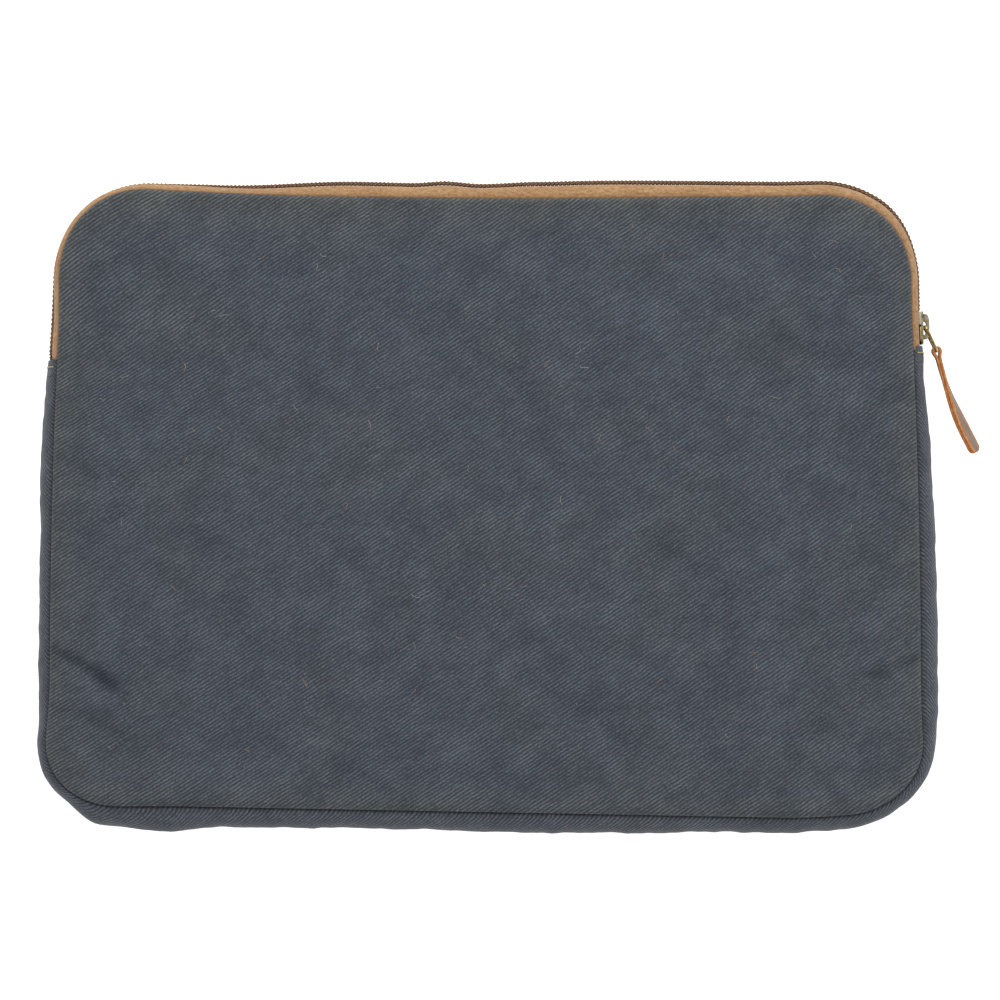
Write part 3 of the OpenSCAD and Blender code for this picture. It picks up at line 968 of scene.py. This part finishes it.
def add_lint(panel):
    """Loose fibres and specks that lie on the cloth, as part of the panel's mesh."""
    rng = random.Random(5)
    tree = BVHTree.FromObject(panel, bpy.context.evaluated_depsgraph_get())
    parts = []

    def on_cloth(x, y):
        hit = tree.ray_cast(Vector((x * MM, y * MM, 0.1)), Vector((0, 0, -1)))[0]
        return None if hit is None else hit.z / MM

    for _ in range(64):
        x, y = rng.uniform(-150, 150), rng.uniform(-105, 108)
        length, heading = rng.uniform(1.2, 4.0), rng.uniform(0, TAU)
        curl = rng.uniform(-0.9, 0.9)
        points = []
        for k in range(7):
            t = k / 6
            z = on_cloth(x, y)
            if z is None:
                break
            points.append((x, y, z + 0.05 + 0.25 * math.sin(t * math.pi)))
            x += math.cos(heading + curl * t * 2) * length / 6
            y += math.sin(heading + curl * t * 2) * length / 6
        if len(points) == 7:
            parts.append(tube(points, rng.uniform(0.05, 0.085), 5))
    for _ in range(46):
        x, y = rng.uniform(-158, 158), rng.uniform(-112, 112)
        z = on_cloth(x, y)
        if z is not None:
            size = rng.uniform(0.06, 0.13)
            parts.append(tube([(x - size, y, z), (x, y + size * 0.5, z + size), (x + size, y, z)], size, 6))
    verts, faces = joined(parts)
    mesh = panel.data
    panel.data.materials.append(MATERIALS["lint"])
    extra = make_mesh("lint", verts, faces)
    whole = bmesh.new()
    whole.from_mesh(mesh)
    before = len(whole.faces)
    whole.from_mesh(extra.data)
    whole.faces.ensure_lookup_table()
    layer = whole.loops.layers.uv.get("cloth")
    for face in whole.faces[before:]:
        face.material_index = 1
        face.smooth = True
        for loop in face.loops:
            loop[layer].uv = (loop.vert.co.x / MM, loop.vert.co.y / MM)
    whole.to_mesh(mesh)
    whole.free()
    bpy.data.objects.remove(extra)


# Angle between the gusset's ribs and its length, down the sides and along the closed edge
SIDE_RIB, EDGE_RIB = math.radians(50), math.radians(45)


def gusset_cloth_map():
    """How the gusset's cloth is laid: its ribs cross the strip at one angle down the sides and more
    steeply along the closed edge, and turn from one to the other round the corners."""
    s = np.linspace(ZIP_LENGTH - 10, PERIMETER + 10, 2400)
    first_corner = STARTS[5] + LENGTHS[5] / 2
    second_corner = STARTS[7] + LENGTHS[7] / 2
    edge = smooth((s - first_corner) / 24 + 0.5) * smooth((second_corner - s) / 24 + 0.5)
    turn = TWILL_ANGLE - (SIDE_RIB + (EDGE_RIB - SIDE_RIB) * edge)
    step = s[1] - s[0]
    x, y = np.cumsum(np.cos(turn)) * step, np.cumsum(np.sin(turn)) * step

    def uv_of(place, v):
        angle = np.interp(place, s, turn)
        inward = -v * GUSSET_CUT_W
        return np.stack([np.interp(place, s, x) - inward * math.sin(angle),
                         np.interp(place, s, y) + inward * math.cos(angle)], 1)
    return uv_of


def fold_path(length, radius, step=0.6):
    """Distance from a folded edge and depth below the outer face, down the outer layer, round the
    fold and back along the inner layer."""
    run = evenly(length, radius, step)
    turn = np.linspace(0, math.pi, 9)[1:-1]
    away = np.concatenate([run, radius * (1 - np.sin(turn)), run[::-1]])
    depth = np.concatenate([run * 0, radius * (1 - np.cos(turn)), run * 0 + 2 * radius])
    return away, depth


# How far each folded end laps over its end of the zip, and how far its stitches are from the fold
HEM_LAP = {"left": -0.3, "right": 1.5}
STITCHES_IN = 2.9


def build_gusset():
    uv_of = gusset_cloth_map()
    hem = ZIP_END_Y - HEM_Y
    first = ZIP_LENGTH + hem - HEM_LAP["left"]
    last = PERIMETER - hem + HEM_LAP["right"]
    stations = evenly(first, last, 1.4)
    main = strip("gusset_cloth", stations, 22, gusset_profile(stations, 3.0), uv_of, CLOTH_THICK,
                 "gusset")
    lining = strip("gusset_lining_cloth", stations[::2], 14,
                   gusset_profile(stations[::2], 3.0, shrink=1.4, pucker=0.7),
                   lambda s, v: np.stack([v * 0 + s, v * LINING_CUT_W], 1), LINING_THICK, "lining")
    for obj, slot, node, width in ((main, "twill", "gusset", GUSSET_CUT_W),
                                   (lining, "lining", "gusset_lining", LINING_CUT_W)):
        stands_for(obj, slot, node)
        (last - first) * MM
        width * MM
        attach(obj, "sleeve")

    fold_r = 0.65
    away, depth = fold_path(hem, fold_r)
    for side in ("left", "right"):
        if side == "left":
            stations, inside = ZIP_LENGTH - HEM_LAP[side] + away[::-1], depth[::-1]
        else:
            stations, inside = PERIMETER + HEM_LAP[side] - away, depth
        end_piece = strip("gusset_hem_" + side, stations, 22,
                          gusset_profile(stations, 3.0, shrink=inside), uv_of, HEM_THICK,
                          "gusset")
        stands_for(end_piece, "twill", "gusset_end_" + side)
        (2 * hem + fold_r) * MM
        GUSSET_CUT_W * MM
        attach(end_piece, "sleeve")
        build_end_stitches(side)


def build_end_stitches(side):
    """Row of thread across a folded end."""
    from_fold = STITCHES_IN - HEM_LAP[side]
    place_s = ZIP_LENGTH + from_fold if side == "left" else PERIMETER - from_fold
    points, out = seam([place_s])
    profile = gusset_profile([place_s], 3.0)
    arch = np.sin(np.linspace(0, math.pi, 7))
    parts = []
    count = 7
    for k in range(count):
        v = np.linspace((k + 0.15) / count, (k + 0.85) / count, 7) * 0.88 + 0.06
        dist, z = profile(0, v)
        lift = 0.10 + 0.16 * arch
        x = points[0, 0] + out[0, 0] * (dist + lift)
        y = points[0, 1] + out[0, 1] * (dist + lift) + 0.12 * np.sin(v * 9)
        z = z + lift * np.cos(v * math.pi) * 0.8
        parts.append(tube(np.stack([x, y, z], 1), 0.22, 8))
    obj = make_mesh("end_stitches_" + side, *joined(parts))
    dress(obj, "end_thread")
    stands_for(obj, "thread", "end_stitching_" + side)
    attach(obj, "sleeve")


# ---------------------------------------------------------------- the zip

COIL_PITCH = 1.6
WIRE_R = 0.3
BACK_COIL_FROM = 5.0


def chain_line(stations, past, z):
    """Points along the chain, past its middle line by a distance out and at a height."""
    points, out = seam(stations)
    dist = keyed(stations, ZIP_OUT) - COIL_DEPTH + past
    return np.column_stack([points + out * dist[:, None], np.broadcast_to(z, len(stations))])


def build_zip():
    for half, sign in (("front", 1), ("back", -1)):
        build_tape(half, sign)
        start = COIL_START_Y - ZIP_END_Y if sign > 0 else BACK_COIL_FROM
        build_coil(half, sign, start)
        end = ZIP_LENGTH - 1.5
        cord = chain_line(evenly(start, end, 1.6), 0.95, MID_Z + sign * 1.55)
        zip_part("coil_filler_" + half, [tube(cord, 0.36, 8)], "cord", "coil_cord", "coil_cord_" + half)

        # Two rows of sewing thread dip between the turns of the coil
        run = np.arange(start, end, COIL_PITCH / 6)
        lift = 1.72 + 0.22 * np.cos((run - start) * TAU / COIL_PITCH)
        rows = [tube(chain_line(run, lift, MID_Z + sign * row), 0.17, 5) for row in (1.15, 2.15)]
        zip_part("coil_sewing_" + half, rows, "thread", "thread", "coil_thread_" + half)


def build_tape(half, sign):
    tuck = 0.3
    stations = evenly(-tuck, ZIP_LENGTH + tuck, 1.5)
    tape = strip("zip_tape_cloth_" + half, stations, 14, zip_profile(stations, sign > 0),
                 lambda s, v: np.stack([v * 0 + s, v * TAPE_CUT_W], 1), TAPE_THICK, "tape",
                 inward=sign < 0)
    stands_for(tape, "zip_tape", "zip_tape_" + half)
    (ZIP_LENGTH + 2 * tuck) * MM
    place(tape, sign > 0)


def build_coil(half, sign, start):
    """A loop of the coil stands square to the tape, and its step to the next loop is made at the back."""
    turns = int((ZIP_LENGTH - HEM_LAP["left"] + 0.4 - start) / COIL_PITCH)
    per_turn = 16
    phase = 0.0 if sign > 0 else 0.5
    angle = np.arange(turns * per_turn + 1) * TAU / per_turn
    turn = angle / TAU
    along = start + COIL_PITCH * (np.floor(turn) + phase + smooth(turn % 1))
    wire = chain_line(along, 0.95 - 0.68 * np.cos(angle), MID_Z + sign * (1.15 - 1.42 * np.sin(angle)))
    zip_part("zip_coil_turns_" + half, [tube(wire, WIRE_R, 6)], "coil", "zip_coil", "zip_coil_" + half)


def zip_part(name, parts, material, slot, node):
    obj = make_mesh(name, *joined(parts))
    dress(obj, material)
    stands_for(obj, slot, node)
    place(obj, name.endswith("front"))


# ---------------------------------------------------------------- slider, link and leather pull

def plate(half_w, length, taper, corner=1.3, steps=6):
    """Outline of a slider plate across and along the zip, round at its corners."""
    corners = [(-half_w, 0), (half_w, 0), (half_w - taper, length), (-half_w + taper, length)]
    points = []
    for k, (cx, cy) in enumerate(corners):
        before = np.array(corners[k - 1]) - (cx, cy)
        after = np.array(corners[(k + 1) % 4]) - (cx, cy)
        before = before / np.linalg.norm(before)
        after = after / np.linalg.norm(after)
        for t in np.linspace(0, 1, steps):
            a, b = np.array((cx, cy)) + before * corner, np.array((cx, cy)) + after * corner
            points.append((1 - t) ** 2 * a + 2 * t * (1 - t) * np.array((cx, cy)) + t * t * b)
    return np.array(points)


def slab(outline, low, high, edge=0.28):
    """A plate with rounded edges. outline is across and along the zip; low and high are distances out."""
    rings = []
    middle = outline.mean(0)
    for part, inset in ((low, edge), (low + edge * 0.3, edge * 0.3), (low + edge, 0),
                        (high - edge, 0), (high - edge * 0.3, edge * 0.3), (high, edge)):
        out = outline - middle
        size = np.linalg.norm(out, axis=1)[:, None]
        ring = middle + out * (size - inset) / size
        rings.append(np.column_stack([np.full(len(ring), part), ring[:, 1], ring[:, 0]]))
    count = len(outline)
    faces = grid_faces(len(rings), count, wrap_cols=True)
    faces.append(tuple(range(count))[::-1])
    faces.append(tuple((len(rings) - 1) * count + k for k in range(count)))
    return np.vstack(rings), faces


def build_slider():
    """Die-cast body: two plates, the lips that hold the coils, and the post between the plates."""
    low, high = SLIDER
    half_w, length = (high[2] - low[2]) / 2, high[1] - low[1]
    plate_t = 1.1
    parts = [
        slab(plate(half_w, length, 0.7), low[0], low[0] + plate_t),
        slab(plate(half_w, length, 0.7), high[0] - plate_t, high[0]),
    ]
    lip = 1.3
    nose = []
    for side in (-1, 1):
        for start, run, tall in ((1.0, 6.0, 0.45), (7.6, 5.2, 2.2)):
            bar = plate(lip / 2, run, 0.0, 0.3, 4) + (side * (half_w - 0.75), start)
            parts.append(slab(bar, high[0] - plate_t - tall, high[0] - plate_t + 0.3, 0.18))
            if tall > 1:
                nose.append(len(parts) - 1)
    # The post stops short of where the chain begins when the slider is pushed up
    post = plate(0.5, 1.5, 0.1, 0.3, 4) + (0, 0.3)
    parts.append(slab(post, low[0] + plate_t - 0.2, high[0] - plate_t + 0.2, 0.1))
    verts, faces = joined(parts)
    verts += (0, low[1], (low[2] + high[2]) / 2)
    body = make_mesh("slider_casting", verts, faces)
    bevel_and_dress(body, "slider", "slider_nose")
    first = np.cumsum([0] + [len(part[1]) for part in parts])
    for k in nose:
        for polygon in body.data.polygons[first[k]:first[k + 1]]:
            polygon.material_index = 1
    stands_for(body, "antique_brass", "slider_body")
    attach(body, "slider")


def build_bridge():
    """A strap that arches from one foot to the other, with the longer foot at the nose."""
    low, high = BRIDGE
    half_w, rise, run = (high[2] - low[2]) / 2, high[0] - low[0], high[1] - low[1]
    turns = np.linspace(0, math.pi, 25)
    outer = np.column_stack([rise * np.sin(turns) ** 0.4, run / 2 - run / 2 * np.cos(turns)])
    tail_foot, nose_foot = 1.8, 3.1
    hole = (run - tail_foot - nose_foot) / 2
    inner = np.column_stack([(rise - 1.25) * np.sin(turns) ** 0.4,
                             tail_foot + hole - hole * np.cos(turns)])
    count = len(turns)
    rings = []
    for across, shrink in ((-1.0, 0.25), (-0.8, 0.0), (0.8, 0.0), (1.0, 0.25)):
        lowered = outer - np.column_stack([shrink * np.sin(turns), np.zeros(count)])
        loop = np.vstack([lowered, inner[::-1]])
        rings.append(np.column_stack([loop, np.full(2 * count, across * half_w)]))
    faces = grid_faces(len(rings), 2 * count, wrap_cols=True)
    for first in (0, (len(rings) - 1) * 2 * count):
        for k in range(count - 1):
            far = 2 * count - 1 - k
            faces.append((first + k, first + k + 1, first + far - 1, first + far))
    verts = np.vstack(rings) + (low[0], low[1], (low[2] + high[2]) / 2)
    bridge = make_mesh("slider_arch", verts, faces)
    bevel_and_dress(bridge, "slider_bridge")
    stands_for(bridge, "antique_brass", "slider_bridge")
    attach(bridge, "slider")


def face_outward(obj):
    """Turns all faces outward."""
    mesh = bmesh.new()
    mesh.from_mesh(obj.data)
    bmesh.ops.recalc_face_normals(mesh, faces=mesh.faces)
    mesh.to_mesh(obj.data)
    mesh.free()


def bevel_and_dress(obj, *materials):
    """Outward faces, softened edges and materials."""
    face_outward(obj)
    obj.data.shade_smooth()
    bevel = obj.modifiers.new("edges", "BEVEL")
    bevel.width = 0.1 * MM
    bevel.segments = 2
    bevel.limit_method = "ANGLE"
    bevel.angle_limit = math.radians(50)
    bevel.harden_normals = True
    dress(obj, *materials)


def build_link():
    """Bent wire that hooks under the bridge, with a leg on each side of the slider."""
    half_w, bend = 4.3, 1.4
    run = BAR - PIVOT
    length = np.linalg.norm(run)
    down = run / length
    across = np.array((0.0, 0.0, 1.0))
    flat = []
    for cu, cw, start in ((bend, half_w - bend, 180), (length - bend, half_w - bend, 90),
                          (length - bend, -half_w + bend, 0), (bend, -half_w + bend, 270)):
        for t in np.linspace(0, 90, 9):
            a = math.radians(start - t)
            flat.append((cu + bend * math.cos(a), cw + bend * math.sin(a)))
    dense = []
    for a, b in zip(flat, flat[1:] + flat[:1]):
        gap = math.dist(a, b)
        for t in np.linspace(0, 1, max(2, int(gap / 0.8) + 1))[:-1]:
            dense.append((a[0] + (b[0] - a[0]) * t, a[1] + (b[1] - a[1]) * t))
    points = [PIVOT + down * u + across * w for u, w in dense]
    verts, faces = tube(points, LINK_WIRE_R, 14, closed=True)
    link = make_mesh("link_wire", verts, faces)
    dress(link, "link")
    stands_for(link, "link_brass", "pull_link")
    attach(link, "link")


def build_leather():
    """One strip of leather folded round the link bar. Its two layers are glued, and it twists towards
    its rounded end."""
    low, high = box_mm("leather_pull")
    half_w = (high[2] - low[2]) / 2
    loop_r = 1.40
    lean = math.radians(14)
    length = 42.8
    # Middle line of the doubled strip, from the link bar to the end
    count = 56
    t = np.linspace(0, 1, count)
    heading = lean + math.radians(13) * smooth(t / 0.9)
    step = length / (count - 1)
    line = np.zeros((count, 2))
    for k in range(1, count):
        line[k] = line[k - 1] + step * np.array((math.sin(heading[k]), -math.cos(heading[k])))
    side = np.column_stack([np.cos(heading), np.sin(heading)])
    # The layers part round the bar and close up below it, where they are pressed a little thinner
    dist = t * length
    layer = 1.12 + 0.26 * (1 - smooth((dist - 1) / 3))
    gape = layer / 2 + (loop_r - layer / 2) * (1 - smooth((dist - 0.2) / 2.3))
    twist = -math.radians(34) * smooth((dist - 5) / 28)
    end_round = np.sqrt(np.clip(1 - ((dist - (length - half_w * 0.8)) / (half_w * 0.8)) ** 2, 0, 1))
    widen = 1 + 0.16 * smooth((dist - 14) / 20)
    half_width = np.where(dist > length - half_w * 0.8, half_w * widen * end_round, half_w * widen)
    half_width = np.maximum(half_width, 0.55)

    # The strip goes round in one piece: right layer up, round the bar, left layer down
    arc = 16
    index = np.concatenate([np.arange(count)[::-1], np.zeros(arc - 1, int), np.arange(count)])
    round_bar = math.pi * np.arange(1, arc) / arc
    turn = np.concatenate([np.zeros(count), round_bar, np.full(count, math.pi)])[:, None]
    run = np.concatenate([dist[::-1], -0.1 * np.arange(1, arc), dist])
    back = np.array((-math.sin(lean), math.cos(lean)))
    face_out = side[index] * np.cos(turn) + back * np.sin(turn)

    rng = random.Random(3)
    nudge = [0.05 * rng.uniform(-1, 1) for _ in index]
    edge_r = 0.22
    # Section of a layer: part of its thickness, which edge, and how far that point is drawn in
    section = ((0.5, 1, edge_r), (0.31, 1, 0), (-0.44, 1, 0), (-0.5, 1, edge_r),
               (-0.5, -1, edge_r), (-0.44, -1, 0), (0.31, -1, 0), (0.5, -1, edge_r))
    verts, uvs = [], []
    for i, k in enumerate(index):
        c, s = math.cos(twist[k]), math.sin(twist[k])
        for share, end, drawn_in in section:
            across = (half_width[k] - drawn_in) * end + nudge[i]
            offset = face_out[i] * (gape[k] + share * layer[k])
            lateral = float(np.dot(offset, side[k]))
            rest = offset - side[k] * lateral
            # Twisting turns the section about the strip's own middle line
            x, y = line[k] + rest + side[k] * (lateral * c + across * s)
            verts.append(BAR + (x, y, across * c - lateral * s))
            uvs.append((run[i], across if drawn_in else lateral))
    total = len(index)
    cols = len(section)
    faces = grid_faces(total, cols, wrap_cols=True)
    faces.append(tuple(range(cols))[::-1])
    faces.append(tuple((total - 1) * cols + k for k in range(cols)))
    leather = make_mesh("leather_strap", verts, faces, uvs)
    dress(leather, "leather_face", "leather_edge")
    for polygon in leather.data.polygons:
        first = polygon.index % cols
        is_edge = polygon.index >= total * cols - cols or first in (0, 1, 2, 4, 5, 6)
        polygon.material_index = 1 if is_edge else 0
    face_outward(leather)
    sub = leather.modifiers.new("smooth", "SUBSURF")
    sub.levels = sub.render_levels = 1
    stands_for(leather, "leather", "leather_pull")
    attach(leather, "pull")


# ---------------------------------------------------------------- the scene round the sleeve

def build_stage():
    """White table, soft light from all round, a key lamp beyond the top edge, a weak fill."""
    size = 3.0
    mesh = bpy.data.meshes.new("table")
    mesh.from_pydata([(-size, -size, 0), (size, -size, 0), (size, size, 0), (-size, size, 0)], [],
                     [(0, 1, 2, 3)])
    table = bpy.data.objects.new("table", mesh)
    bpy.context.scene.collection.objects.link(table)
    white = Nodes("white_table")
    grain = white.noise(white.object_coords(), 3, 2)
    white.finish(white.ramp(grain, [(0.3, (247, 247, 247)), (0.7, (249, 249, 249))]), 0.9,
                 Emission_Color=(1, 1, 1, 1), Emission_Strength=0.72)
    mesh.materials.append(white.material)

    world = bpy.data.worlds.new("studio")
    bpy.context.scene.world = world
    world.use_nodes = True
    world.node_tree.nodes["Background"].inputs["Color"].default_value = (1, 1, 1, 1)
    world.node_tree.nodes["Background"].inputs["Strength"].default_value = 0.51
    for name, place, size, power in (
        ("key", (-0.1, 1.1, 1.4), 0.7, 14),
        ("fill", (1.3, -0.4, 1.2), 1.2, 5),
    ):
        lamp = bpy.data.lights.new(name, "AREA")
        lamp.size = size
        lamp.energy = power
        obj = bpy.data.objects.new(name, lamp)
        obj.location = place
        obj.rotation_euler = (-Vector(place)).to_track_quat("-Z", "Y").to_euler()
        bpy.context.scene.collection.objects.link(obj)
    bpy.context.scene.view_settings.view_transform = "Standard"


def build_camera():
    """Straight above, far enough off to flatten the view. The frame is 390 mm wide at the front panel."""
    height, width, sensor = 2.2, 0.39, 36.0
    camera = bpy.data.cameras.new("camera")
    camera.sensor_width = sensor
    camera.lens = sensor * (height - THICKNESS * MM) / width
    obj = bpy.data.objects.new("camera", camera)
    obj.location = (5.7 * MM, 1.1 * MM, height)
    bpy.context.scene.collection.objects.link(obj)
    bpy.context.scene.camera = obj


build_camera()
build_stage()
build_panels()
build_gusset()
build_zip()
build_slider()
build_bridge()
build_link()
build_leather()
